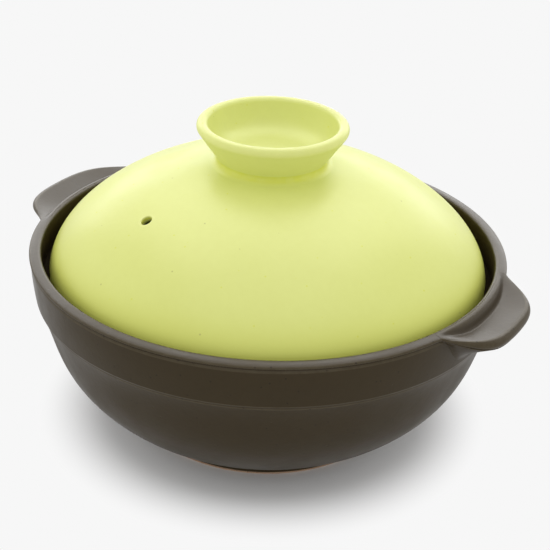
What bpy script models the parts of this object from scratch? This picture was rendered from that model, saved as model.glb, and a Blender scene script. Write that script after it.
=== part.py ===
"""Earthenware stew pot: a glazed stoneware bowl with two lug handles, and a domed lid with a ring knob.

Metres, +Z up. The origin is on the table under the middle of the pot. The handles lie along X, and the
lid lifts straight up. Turned pieces are profiles of (radius, height) points spun about Z.
"""

import math

import bmesh
import bpy
from mathutils import Vector

# Rim of the bowl
RIM_RADIUS = 0.1250
POT_HEIGHT = 0.1002
RIM_WIDTH = 0.0062
LIP_FACE = 0.0034
LIP_ROUNDING = 0.0012
LIP_OVERHANG = 0.0007
LIP_INNER_ROUNDING = 0.0010

# Collar between the lip and the step line
STEP_DROP = 0.0239
COLLAR_LEAN = 0.0028
COLLAR_BULGE = 0.0017
STEP_WIDTH = 0.0008
STEP_ROUNDING = 0.0007

# Lower bowl: how far its wall and its belly run on from the step and from the foot before they turn
WALL_PULL = (-0.0103, -0.0216)
BELLY_PULL = (0.0475, 0.0294)
WALL_THICKNESS = 0.0075
BASE_THICKNESS = 0.0075
FLOOR_FILLET = 0.0080

# Gallery, the ledge inside the rim that carries the lid
SEAT_DEPTH = 0.0165
SEAT_WIDTH = 0.0100
SEAT_NOSE = 0.0020
SEAT_FILLET = 0.0015

# Foot ring
FOOT_RADIUS = 0.0699
FOOT_HEIGHT = 0.0048
FOOT_WIDTH = 0.0085
FOOT_TAPER = 0.0012
FOOT_ROUNDING = 0.0008
FOOT_MARGIN = 0.0016

# Lug handles
LUG_REACH = 0.0176
LUG_SHELF = 0.0032
LUG_SPREAD = math.radians(16.0)
LUG_SQUARENESS = 3.64
LUG_END = math.radians(23.5)
LUG_BLUNTNESS = 0.08
LUG_EDGE = 0.0025
LUG_DROP = 0.0085
LUG_SLOPE = 0.283
LUG_TROUGH = 0.0008
LUG_END_DEPTH = 0.0085
LUG_STEP_MARGIN = 0.0015
LUG_KNEE = (0.45, 0.70)

# Lid
LID_GAP = 0.0037
LID_RISE = 0.0645
LID_CROWN_PULL = 0.0563
LID_EDGE_PULL = 0.0293
LID_EDGE_HEIGHT = 0.0027
LID_ROUNDING = 0.0018
LID_LAND = 0.0075
LID_THICKNESS = 0.0050
STEAM_HOLE_RADIUS = 0.0031
STEAM_HOLE_DISTANCE = 0.0745
STEAM_HOLE_ANGLE = math.radians(-113.5)

# Knob
KNOB_LIP_RADIUS = 0.0388
KNOB_HEIGHT = 0.0192
KNOB_NECK_RADIUS = 0.0290
KNOB_NECK_FILLET = 0.0030
KNOB_SEAT_EDGE = 0.0005
KNOB_LIP_ROUNDING = 0.0021
KNOB_LIP_WIDTH = 0.0043
KNOB_DISH_DEPTH = 0.0131
KNOB_DISH_FILLET = 0.0045

# Gaps between pieces that touch
SEAT_CLEARANCE = 0.0003
LUTED_CLEARANCE = 0.0003

# How finely the curves are cut
TURNS = 56
KNOB_TURNS = 36
LUG_STATIONS = 20
DOME_STEPS = 12
HOLE_TURNS = 48

# Heights and radii that follow from the sizes above
INNER_RADIUS = RIM_RADIUS - RIM_WIDTH
COLLAR_RADIUS = RIM_RADIUS - LIP_OVERHANG
LIP_BOTTOM = POT_HEIGHT - LIP_FACE
STEP_HEIGHT = POT_HEIGHT - STEP_DROP
SEAT_HEIGHT = POT_HEIGHT - SEAT_DEPTH
FLOOR_HEIGHT = FOOT_HEIGHT + BASE_THICKNESS
LID_RADIUS = INNER_RADIUS - LID_GAP
LID_BOTTOM = SEAT_HEIGHT + SEAT_CLEARANCE
LID_CROWN = LID_BOTTOM + LID_RISE
KNOB_TOP = LID_CROWN + KNOB_HEIGHT


def arc(centre, radius, start, end, steps=4):
    """Points along a round stretch, angles in degrees from +X, both ends included."""
    points = []
    for step in range(steps + 1):
        angle = math.radians(start + (end - start) * step / steps)
        points.append((centre[0] + radius * math.cos(angle), centre[1] + radius * math.sin(angle)))
    return points


def bezier(a, b, c, d, steps):
    """Points along the cubic curve from a to d that leaves towards b and arrives from c."""
    points = []
    for step in range(steps + 1):
        t = step / steps
        s = 1.0 - t
        weights = (s * s * s, 3 * s * s * t, 3 * s * t * t, t * t * t)
        points.append(tuple(sum(w * p[axis] for w, p in zip(weights, (a, b, c, d))) for axis in (0, 1)))
    return points


def offset(points, distance):
    """The same run of points moved to its right-hand side by a distance."""
    moved = []
    for index, (radius, height) in enumerate(points):
        before = points[max(index - 1, 0)]
        after = points[min(index + 1, len(points) - 1)]
        along = Vector((after[0] - before[0], after[1] - before[1])).normalized()
        moved.append((radius + along.y * distance, height - along.x * distance))
    return moved


def fillet_to_level(points, level, reach):
    """The falling run of points, stopped a reach above a level and rounded into it."""
    kept = [point for point in points if point[1] > level + reach]
    last = Vector(kept[-1])
    along = (last - Vector(kept[-2])).normalized()
    corner = last + along * ((last.y - level) / -along.y)
    end = Vector((corner.x - (corner - last).length, level))
    for step in range(1, 5):
        t = step / 4
        point = (1 - t) ** 2 * last + 2 * (1 - t) * t * corner + t * t * end
        kept.append((point.x, point.y))
    return kept


def value_at(points, height):
    """The radius of a falling run of points at a height."""
    for upper, lower in zip(points, points[1:]):
        if upper[1] >= height >= lower[1]:
            share = (upper[1] - height) / max(upper[1] - lower[1], 1e-9)
            return upper[0] + share * (lower[0] - upper[0])
    return points[0][0] if height > points[0][1] else points[-1][0]


def height_at(points, radius):
    """The height of a run of points that falls outwards, at a radius."""
    for inner, outer in zip(points, points[1:]):
        if inner[0] <= radius <= outer[0]:
            share = (radius - inner[0]) / max(outer[0] - inner[0], 1e-9)
            return inner[1] + share * (outer[1] - inner[1])
    return points[-1][1]


def material(name, colour, roughness):
    """A Principled BSDF material of one colour."""
    made = bpy.data.materials.new(name)
    made.use_nodes = True
    shader = made.node_tree.nodes["Principled BSDF"]
    shader.inputs["Base Color"].default_value = (*colour, 1.0)
    shader.inputs["Roughness"].default_value = roughness
    shader.inputs["Metallic"].default_value = 0.0
    return made


def add_object(name, mesh, finish, parent):
    """Put a mesh into the scene as a named piece, shaded smooth with its creases kept."""
    mesh.materials.append(finish)
    mesh.shade_smooth()
    mesh.set_sharp_from_angle(angle=math.radians(35))
    piece = bpy.data.objects.new(name, mesh)
    piece.parent = parent
    bpy.context.scene.collection.objects.link(piece)
    return piece


def turned(name, profile, finish, parent, turns=TURNS):
    """A turned solid: an outline of (radius, height), top to bottom down its outer side, spun about Z."""
    mesh = bpy.data.meshes.new(name)
    shape = bmesh.new()
    points = [shape.verts.new((radius, 0.0, height)) for radius, height in profile]
    for first, second in zip(points, points[1:] + points[:1]):
        on_axis = first.co.x == 0.0 and second.co.x == 0.0
        if not on_axis:
            shape.edges.new((first, second))
    shape.to_mesh(mesh)
    shape.free()
    piece = add_object(name, mesh, finish, parent)
    screw = piece.modifiers.new("Spin", "SCREW")
    screw.steps = turns
    screw.render_steps = turns
    screw.use_merge_vertices = True
    screw.merge_threshold = 0.00001
    screw.use_smooth_shade = True
    return piece


def collar_curve():
    """Outside of the collar, from under the lip down to the step."""
    top = (COLLAR_RADIUS, LIP_BOTTOM)
    bottom = (COLLAR_RADIUS - COLLAR_LEAN, STEP_HEIGHT)
    third = (top[1] - bottom[1]) / 3
    return bezier(top, (top[0], top[1] - third), (bottom[0] + COLLAR_BULGE, bottom[1] + third), bottom, 5)


def belly_curve():
    """Outside of the lower bowl, from under the step in to the foot."""
    start = (COLLAR_RADIUS - COLLAR_LEAN + STEP_WIDTH, STEP_HEIGHT - STEP_ROUNDING)
    end = (FOOT_RADIUS + FOOT_MARGIN, FOOT_HEIGHT)
    towards = (start[0] + WALL_PULL[0], start[1] + WALL_PULL[1])
    arrives = (end[0] + BELLY_PULL[0], end[1] + BELLY_PULL[1])
    return bezier(start, towards, arrives, end, 10)


def bowl_profile():
    """Outline of the bowl from the rim's top down the outside, under the base and back up the inside."""
    lip_corner = (RIM_RADIUS - LIP_ROUNDING, POT_HEIGHT - LIP_ROUNDING)
    lip_under = (RIM_RADIUS - LIP_OVERHANG, LIP_BOTTOM + LIP_OVERHANG)
    lip = arc(lip_corner, LIP_ROUNDING, 90, 0, 3) + arc(lip_under, LIP_OVERHANG, 0, -90, 2)[:-1]
    belly = belly_curve()
    outside = lip + collar_curve() + belly

    nose_radius = INNER_RADIUS - SEAT_WIDTH
    wall = [point for point in offset(belly, WALL_THICKNESS) if point[1] < SEAT_HEIGHT - 2 * SEAT_NOSE]
    wall = fillet_to_level(wall, FLOOR_HEIGHT, FLOOR_FILLET)
    nose = arc((nose_radius + SEAT_NOSE, SEAT_HEIGHT - SEAT_NOSE), SEAT_NOSE, 180, 90, 3)
    corner = arc((INNER_RADIUS - SEAT_FILLET, SEAT_HEIGHT + SEAT_FILLET), SEAT_FILLET, -90, 0, 2)
    edge_centre = (INNER_RADIUS + LIP_INNER_ROUNDING, POT_HEIGHT - LIP_INNER_ROUNDING)
    edge = arc(edge_centre, LIP_INNER_ROUNDING, 180, 90, 2)
    inside = [(0.0, FLOOR_HEIGHT)] + wall[::-1] + nose + corner + edge
    return outside + [(0.0, FOOT_HEIGHT)] + inside


def foot_profile():
    """Outline of the foot ring, with its top a gap below the base."""
    top = FOOT_HEIGHT - LUTED_CLEARANCE
    inner = FOOT_RADIUS - FOOT_WIDTH
    outer_corner = arc((FOOT_RADIUS - FOOT_ROUNDING, FOOT_ROUNDING), FOOT_ROUNDING, 0, -90, 3)
    inner_corner = arc((inner + FOOT_ROUNDING, FOOT_ROUNDING), FOOT_ROUNDING, -90, -180, 3)
    return [(FOOT_RADIUS + FOOT_TAPER, top)] + outer_corner + inner_corner + [(inner - FOOT_TAPER, top)]


def dome_curve(steps):
    """Outside of the lid, from the middle of its crown to its upright edge."""
    crown = (0.0, LID_CROWN)
    edge = (LID_RADIUS, LID_BOTTOM + LID_EDGE_HEIGHT)
    return bezier(crown, (LID_CROWN_PULL, LID_CROWN), (LID_RADIUS, edge[1] + LID_EDGE_PULL), edge, steps)


def dome_profile():
    """Outline of the lid from its crown down the outside, across the land and up under the dome."""
    outside = dome_curve(DOME_STEPS)
    rounding = arc((LID_RADIUS - LID_ROUNDING, LID_BOTTOM + LID_ROUNDING), LID_ROUNDING, 0, -90, 3)
    land_radius = LID_RADIUS - LID_LAND
    under = [point for point in offset(outside, LID_THICKNESS) if point[0] < land_radius - LID_ROUNDING]
    under[0] = (0.0, LID_CROWN - LID_THICKNESS)
    inner_corner = arc((land_radius + LID_ROUNDING, LID_BOTTOM + LID_ROUNDING), LID_ROUNDING, -90, -180, 2)
    return outside + rounding + inner_corner + under[::-1]


def knob_profile():
    """Outline of the knob from the middle of its dish, over the lip, down the flare and across its seat."""
    dish = KNOB_TOP - KNOB_DISH_DEPTH
    lip = (KNOB_LIP_RADIUS - KNOB_LIP_ROUNDING, KNOB_TOP - KNOB_LIP_ROUNDING)
    inner_lip = KNOB_LIP_RADIUS - KNOB_LIP_WIDTH
    floor_radius = inner_lip - KNOB_DISH_FILLET
    hollow = bezier(
        (floor_radius - KNOB_DISH_FILLET, dish),
        (floor_radius + KNOB_DISH_FILLET / 2, dish),
        (inner_lip - KNOB_DISH_FILLET / 2, dish + KNOB_DISH_FILLET / 2),
        (inner_lip, lip[1]),
        5,
    )
    crest = arc((inner_lip + KNOB_LIP_ROUNDING, lip[1]), KNOB_LIP_ROUNDING, 180, 90, 3)
    outer = arc(lip, KNOB_LIP_ROUNDING, 90, -40, 5)

    dome = offset(dome_curve(DOME_STEPS), -LUTED_CLEARANCE)
    foot_radius = KNOB_NECK_RADIUS + KNOB_NECK_FILLET
    foot_height = height_at(dome, foot_radius)
    foot_edge = foot_height + KNOB_SEAT_EDGE
    neck_height = height_at(dome, KNOB_NECK_RADIUS) + KNOB_NECK_FILLET
    neck_corner = (KNOB_NECK_RADIUS, (neck_height + foot_edge) / 2)
    neck = bezier((KNOB_NECK_RADIUS, neck_height), neck_corner, neck_corner, (foot_radius, foot_edge), 4)
    seat = [(foot_radius, foot_height)] + [point for point in dome if 0.0 < point[0] < foot_radius][::-1]
    return [(0.0, dish)] + hollow + crest[1:] + outer + neck + seat + [(0.0, LID_CROWN + LUTED_CLEARANCE)]


def lug_section(angle, wall):
    """The closed (radius, height) outline of a lug at an angle from its own axis."""
    growth = math.exp(-((abs(angle) / LUG_SPREAD) ** LUG_SQUARENESS))
    taper = LUG_BLUNTNESS + (1.0 - LUG_BLUNTNESS) * math.sqrt(max(1.0 - (angle / LUG_END) ** 6, 0.0))
    middle_height = POT_HEIGHT - LUG_DROP
    base = value_at(wall, middle_height) + LUTED_CLEARANCE
    tip = base + (RIM_RADIUS + LUG_REACH - base - LUG_SHELF) * growth + LUG_SHELF * taper
    edge = min(LUG_EDGE, (tip - base) / 2)
    centre = (tip - edge, middle_height + LUG_SLOPE * (tip - edge - base))

    root_top = middle_height + LUG_EDGE * taper
    full_depth = middle_height + LUG_EDGE - STEP_HEIGHT - LUG_STEP_MARGIN
    root_bottom = root_top - LUG_END_DEPTH * taper - (full_depth - LUG_END_DEPTH) * growth
    root = []
    for step in range(5):
        height = root_bottom + (root_top - root_bottom) * step / 4
        root.append((value_at(wall, height) + LUTED_CLEARANCE, height))

    rounding = arc(centre, edge, 110, -70, 6)
    trough = ((root[-1][0] + rounding[0][0]) / 2, (root[-1][1] + rounding[0][1]) / 2 - LUG_TROUGH * growth)
    knee_radius = root[0][0] + (rounding[-1][0] - root[0][0]) * LUG_KNEE[0]
    knee_height = root[0][1] + (rounding[-1][1] - root[0][1]) * LUG_KNEE[1]
    return root + [trough] + rounding + [(knee_radius, knee_height)]


def lug(name, direction, finish, parent):
    """One lug handle, lofted through sections round the collar and closed at both ends."""
    wall = collar_curve() + belly_curve()
    mesh = bpy.data.meshes.new(name)
    shape = bmesh.new()
    rings = []
    for station in range(LUG_STATIONS + 1):
        share = 2 * station / LUG_STATIONS - 1
        angle = LUG_END * math.sin(share * math.pi / 2)
        facing = angle + direction
        ring = []
        for radius, height in lug_section(angle, wall):
            ring.append(shape.verts.new((radius * math.cos(facing), radius * math.sin(facing), height)))
        rings.append(ring)
    for near, far in zip(rings, rings[1:]):
        for index in range(len(near)):
            following = (index + 1) % len(near)
            shape.faces.new((near[index], near[following], far[following], far[index]))
    shape.faces.new(rings[0][::-1])
    shape.faces.new(rings[-1])
    bmesh.ops.recalc_face_normals(shape, faces=shape.faces)
    shape.to_mesh(mesh)
    shape.free()
    return add_object(name, mesh, finish, parent)


def cut_steam_hole(lid):
    """Drill the steam hole square to the slope of the dome."""
    outside = dome_curve(DOME_STEPS)
    height = height_at(outside, STEAM_HOLE_DISTANCE)
    uphill = height_at(outside, STEAM_HOLE_DISTANCE - STEAM_HOLE_RADIUS)
    downhill = height_at(outside, STEAM_HOLE_DISTANCE + STEAM_HOLE_RADIUS)
    lean = math.atan2(uphill - downhill, 2 * STEAM_HOLE_RADIUS)
    mesh = bpy.data.meshes.new("steam_hole_cutter")
    shape = bmesh.new()
    bmesh.ops.create_cone(
        shape,
        cap_ends=True,
        segments=HOLE_TURNS,
        radius1=STEAM_HOLE_RADIUS,
        radius2=STEAM_HOLE_RADIUS,
        depth=4 * LID_THICKNESS,
    )
    shape.to_mesh(mesh)
    shape.free()
    cutter = bpy.data.objects.new("steam_hole_cutter", mesh)
    cutter.location = (
        STEAM_HOLE_DISTANCE * math.cos(STEAM_HOLE_ANGLE),
        STEAM_HOLE_DISTANCE * math.sin(STEAM_HOLE_ANGLE),
        height,
    )
    cutter.rotation_euler = (0.0, lean, STEAM_HOLE_ANGLE)
    cutter.hide_render = True
    cutter.display_type = "WIRE"
    cutter.parent = lid.parent
    bpy.context.scene.collection.objects.link(cutter)
    drill = lid.modifiers.new("SteamHole", "BOOLEAN")
    drill.object = cutter
    drill.operation = "DIFFERENCE"
    drill.solver = "EXACT"


def main():
    for obj in list(bpy.data.objects):
        bpy.data.objects.remove(obj)

    brown_glaze = material("brown_glaze", (0.060, 0.047, 0.036), 0.28)
    bare_clay = material("bare_clay", (0.42, 0.29, 0.21), 0.85)
    handle_glaze = material("handle_glaze", (0.064, 0.050, 0.038), 0.28)
    lime_glaze = material("lime_glaze", (0.66, 0.70, 0.17), 0.25)
    knob_glaze = material("knob_glaze", (0.65, 0.70, 0.16), 0.25)

    pot = bpy.data.objects.new("pot", None)
    lid = bpy.data.objects.new("lid", None)
    for empty in (pot, lid):
        bpy.context.scene.collection.objects.link(empty)

    turned("pot_bowl", bowl_profile(), brown_glaze, pot)
    turned("foot_ring", foot_profile(), bare_clay, pot)
    lug("right_handle", 0.0, handle_glaze, pot)
    lug("left_handle", math.pi, handle_glaze, pot)
    lid_dome = turned("lid_dome", dome_profile(), lime_glaze, lid)
    cut_steam_hole(lid_dome)
    turned("lid_knob", knob_profile(), knob_glaze, lid, turns=KNOB_TURNS)


main()
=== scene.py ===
"""Earthenware stew pot in a plain pale studio: a brown glazed bowl, two lugs and a lime glazed lid.

Metres, +Z up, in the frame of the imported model. The turned pieces are outlines of (radius, height)
points spun about Z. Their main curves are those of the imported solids, cut finer, with the soft
roundings, glaze lines and joins that the fired pot shows.
"""

import logging
import math
from collections.abc import Callable, Mapping
from dataclasses import dataclass, field, replace
from enum import Enum

import bmesh
import bpy
import numpy as np
from mathutils import Matrix, Quaternion, Vector


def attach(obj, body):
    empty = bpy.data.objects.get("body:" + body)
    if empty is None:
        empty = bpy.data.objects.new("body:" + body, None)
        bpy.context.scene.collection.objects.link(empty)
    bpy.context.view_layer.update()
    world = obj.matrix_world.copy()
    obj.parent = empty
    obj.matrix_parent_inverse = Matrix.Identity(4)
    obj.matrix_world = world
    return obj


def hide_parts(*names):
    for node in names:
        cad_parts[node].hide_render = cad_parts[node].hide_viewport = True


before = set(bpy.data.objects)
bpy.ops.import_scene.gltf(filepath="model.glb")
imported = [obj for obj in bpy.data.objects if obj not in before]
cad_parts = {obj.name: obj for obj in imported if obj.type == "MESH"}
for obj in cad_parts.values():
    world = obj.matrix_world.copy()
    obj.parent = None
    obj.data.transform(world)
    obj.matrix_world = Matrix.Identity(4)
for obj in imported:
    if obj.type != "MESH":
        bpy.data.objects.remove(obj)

Point = tuple[float, float]
Colour = tuple[float, float, float]
Feed = float | Colour | bpy.types.NodeSocket
Values = Mapping[str | int, Feed]
Sockets = tuple[bpy.types.NodeSocket, ...]
Finishes = dict[str, bpy.types.Material]

TINY = 1e-9

log = logging.getLogger("stew_pot")


class Coat(Enum):
    """What covers a stretch of a clay piece; the value is its place among the piece's materials."""

    GLAZED = 0
    BARE = 1
    # Matt brown on the gallery's corner in the gap by the lid, darkened as painted shade.
    MATT_GAP_SHADE = 2


# Curves


def arc(centre: Point, radius: float, start: float, end: float, steps: int) -> list[Point]:
    """Points along a round stretch.

    Args:
        centre: Middle of the circle.
        radius: Its radius.
        start: First angle, in degrees from the +X side.
        end: Last angle, in degrees.
        steps: Number of straight steps.

    Returns:
        The points, both ends included.
    """
    turns = [math.radians(start + (end - start) * step / steps) for step in range(steps + 1)]
    return [(centre[0] + radius * math.cos(t), centre[1] + radius * math.sin(t)) for t in turns]


def bezier(a: Point, b: Point, c: Point, d: Point, steps: int) -> list[Point]:
    """Points along a cubic curve.

    Args:
        a: Start.
        b: Where the curve heads as it leaves the start.
        c: Where it comes from as it reaches the end.
        d: End.
        steps: Number of straight steps.

    Returns:
        The points, both ends included.
    """
    points = []
    for step in range(steps + 1):
        t = step / steps
        s = 1.0 - t
        shares = list(zip((s * s * s, 3 * s * s * t, 3 * s * t * t, t * t * t), (a, b, c, d)))
        points.append(tuple(sum(share * p[axis] for share, p in shares) for axis in (0, 1)))
    return points


def part_way(near: Point, far: Point, share: float) -> Point:
    """The point at a share of the way from one point to another."""
    return near[0] + (far[0] - near[0]) * share, near[1] + (far[1] - near[1]) * share


def offset(points: list[Point], distance: float) -> list[Point]:
    """The same run of points moved sideways.

    Args:
        points: The run.
        distance: How far to its right-hand side.

    Returns:
        The moved run, with as many points.
    """
    moved = []
    for index, (radius, height) in enumerate(points):
        before = points[max(index - 1, 0)]
        after = points[min(index + 1, len(points) - 1)]
        along = Vector((after[0] - before[0], after[1] - before[1])).normalized()
        moved.append((radius + along.y * distance, height - along.x * distance))
    return moved


def radius_at(points: list[Point], height: float) -> float:
    """The radius of a falling run of points at a height.

    Args:
        points: The run, from its top down.
        height: The height to look at.

    Returns:
        The radius there, or that of the nearer end.
    """
    for upper, lower in zip(points, points[1:]):
        if upper[1] >= height >= lower[1]:
            share = (upper[1] - height) / max(upper[1] - lower[1], TINY)
            return upper[0] + share * (lower[0] - upper[0])
    return points[0][0] if height > points[0][1] else points[-1][0]


def height_at(points: list[Point], radius: float) -> float:
    """The height of a run of points that goes outwards, at a radius.

    Args:
        points: The run, from its inner end out.
        radius: The radius to look at.

    Returns:
        The height there, or that of the outer end.
    """
    for inner, outer in zip(points, points[1:]):
        if inner[0] <= radius <= outer[0]:
            share = (radius - inner[0]) / max(outer[0] - inner[0], TINY)
            return inner[1] + share * (outer[1] - inner[1])
    return points[-1][1]


def even(points: list[Point], count: int) -> list[Point]:
    """The same line in evenly spaced points.

    Args:
        points: The line.
        count: How many points to place, both ends included.

    Returns:
        The new points.
    """
    reach = [0.0]
    for before, after in zip(points, points[1:]):
        reach.append(reach[-1] + math.dist(before, after))
    spots = np.linspace(0.0, reach[-1], count)
    radii = np.interp(spots, reach, [point[0] for point in points])
    heights = np.interp(spots, reach, [point[1] for point in points])
    return [(float(radius), float(height)) for radius, height in zip(radii, heights)]


def smooth(value: float, low: float, high: float) -> float:
    """A soft step.

    Args:
        value: The number to place.
        low: Where the step starts at 0.
        high: Where it ends at 1.

    Returns:
        The share of the step, from 0 to 1.
    """
    share = min(max((value - low) / (high - low), 0.0), 1.0)
    return share * share * (3.0 - 2.0 * share)


def polar(radius: float, turn: float, height: float = 0.0) -> Vector:
    """The place at a radius, a bearing in radians and a height."""
    return Vector((radius * math.cos(turn), radius * math.sin(turn), height))


def drop_to(curve: list[Point], spot: Vector) -> Vector:
    """The point of a spun curve straight above or below a spot."""
    return Vector((spot.x, spot.y, height_at(curve, math.hypot(spot.x, spot.y))))


def stand(name: str, data: bpy.types.ID) -> bpy.types.Object:
    """Stand a mesh, a lamp or a camera in the scene.

    Args:
        name: The object's name.
        data: What it holds.

    Returns:
        The object.
    """
    made = bpy.data.objects.new(name, data)
    bpy.context.scene.collection.objects.link(made)
    return made


# Meshes


@dataclass
class Outline:
    """A turned piece's outline with the coat of each stretch.

    Attributes:
        points: The (radius, height) points in order.
        coats: The coat of the stretch that ends at each point.
    """

    points: list[Point] = field(default_factory=list)
    coats: list[Coat] = field(default_factory=list)

    SAME_PLACE = 2e-6

    def run(self, points: list[Point], coat: Coat = Coat.GLAZED) -> None:
        """Carry the outline on through more points.

        Args:
            points: The next points; one that repeats the last point is left out.
            coat: What covers the stretches that they end.
        """
        for point in points:
            if self.points and math.dist(self.points[-1], point) < self.SAME_PLACE:
                continue
            self.points.append(point)
            self.coats.append(coat)


class ClayMesh:
    """Collects the points and faces of one piece and makes its object."""

    BEND_ATTRIBUTE = "glaze_bend"
    WELD = 1e-7
    LEAST_SQUARE = 1e-12

    def __init__(self, name: str) -> None:
        """Start an empty piece.

        Args:
            name: The piece's name.
        """
        self.name = name
        self.points: list[Vector] = []
        self.faces: list[tuple[int, ...]] = []
        self.coats: list[int] = []

    def point(self, place: Vector) -> int:
        """Add a point and return its number."""
        self.points.append(place)
        return len(self.points) - 1

    def face(self, corners: tuple[int, ...], coat: Coat = Coat.GLAZED) -> None:
        """Add a face, with repeated corners dropped.

        Args:
            corners: The numbers of its points in order.
            coat: What covers it.
        """
        kept = [corner for index, corner in enumerate(corners) if corner != corners[index - 1]]
        if len(kept) > 2:
            self.faces.append(tuple(kept))
            self.coats.append(coat.value)

    def strip(self, near: list[int], far: list[int]) -> None:
        """Join two closed rows of points with a strip of faces.

        Args:
            near: One row.
            far: The other row, with as many points.
        """
        for index in range(len(near)):
            after = (index + 1) % len(near)
            self.face((near[index], near[after], far[after], far[index]))

    def make(self, finishes: list[bpy.types.Material]) -> bpy.types.Object:
        """Make the object, smooth, with its faces outwards.

        Args:
            finishes: Its materials, in the order of the Coat values.

        Returns:
            The object, linked to the scene.
        """
        mesh = bpy.data.meshes.new(self.name)
        mesh.from_pydata([tuple(point) for point in self.points], [], self.faces)
        for finish in finishes:
            mesh.materials.append(finish)
        mesh.polygons.foreach_set("material_index", self.coats)
        shape = bmesh.new()
        shape.from_mesh(mesh)
        bmesh.ops.remove_doubles(shape, verts=shape.verts, dist=self.WELD)
        bmesh.ops.recalc_face_normals(shape, faces=shape.faces)
        shape.to_mesh(mesh)
        shape.free()
        mesh.shade_smooth()
        self.mark_bends(mesh)
        return stand(self.name, mesh)

    def mark_bends(self, mesh: bpy.types.Mesh) -> None:
        """Write how sharply the skin bends at each point, per metre, positive on an outer edge.

        Args:
            mesh: The finished mesh.
        """
        count = len(mesh.vertices)
        places = np.empty(count * 3, dtype=np.float32)
        mesh.vertices.foreach_get("co", places)
        normals = np.empty(count * 3, dtype=np.float32)
        mesh.vertex_normals.foreach_get("vector", normals)
        ends = np.empty(len(mesh.edges) * 2, dtype=np.int32)
        mesh.edges.foreach_get("vertices", ends)
        places, normals, ends = places.reshape(-1, 3), normals.reshape(-1, 3), ends.reshape(-1, 2)
        step = places[ends[:, 1]] - places[ends[:, 0]]
        square = np.maximum((step**2).sum(axis=1), self.LEAST_SQUARE)
        bend, tally = np.zeros(count), np.zeros(count)
        for end, sign in ((ends[:, 0], -2.0), (ends[:, 1], 2.0)):
            np.add.at(bend, end, sign * (normals[end] * step).sum(axis=1) / square)
            np.add.at(tally, end, 1.0)
        values = (bend / np.maximum(tally, 1.0)).astype(np.float32)
        layer = mesh.attributes.new(self.BEND_ATTRIBUTE, "FLOAT", "POINT")
        layer.data.foreach_set("value", values)


@dataclass
class Turning:
    """A turned skin: an outline spun about Z.

    Attributes:
        clay: The mesh that it goes into.
        outline: The outline to spin.
        columns: Number of stations round the turn.
        bearing: Where the first station stands, in radians.
        closed: Whether the outline joins its own start.
        rows: The numbers of the points of each turned row.
    """

    clay: ClayMesh
    outline: Outline
    columns: int
    bearing: float = 0.0
    closed: bool = False
    rows: list[list[int]] = field(default_factory=list)

    ON_AXIS = 1e-7

    def spin(self, gap: Callable[[int, int], bool] | None = None) -> None:
        """Make the skin's points and faces.

        Args:
            gap: Says for a row and a column whether the face there is left out.
        """
        for radius, height in self.outline.points:
            if radius < self.ON_AXIS:
                self.rows.append([self.clay.point(polar(0.0, 0.0, height))] * self.columns)
                continue
            turns = (self.bearing + 2.0 * math.pi * c / self.columns for c in range(self.columns))
            self.rows.append([self.clay.point(polar(radius, turn, height)) for turn in turns])
        last = len(self.rows) if self.closed else len(self.rows) - 1
        for index in range(last):
            following = (index + 1) % len(self.rows)
            upper, lower = self.rows[index], self.rows[following]
            for column in range(self.columns):
                if gap and gap(index, column):
                    continue
                after = (column + 1) % self.columns
                corners = (upper[column], upper[after], lower[after], lower[column])
                self.clay.face(corners, self.outline.coats[following])


# Finishes


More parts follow.
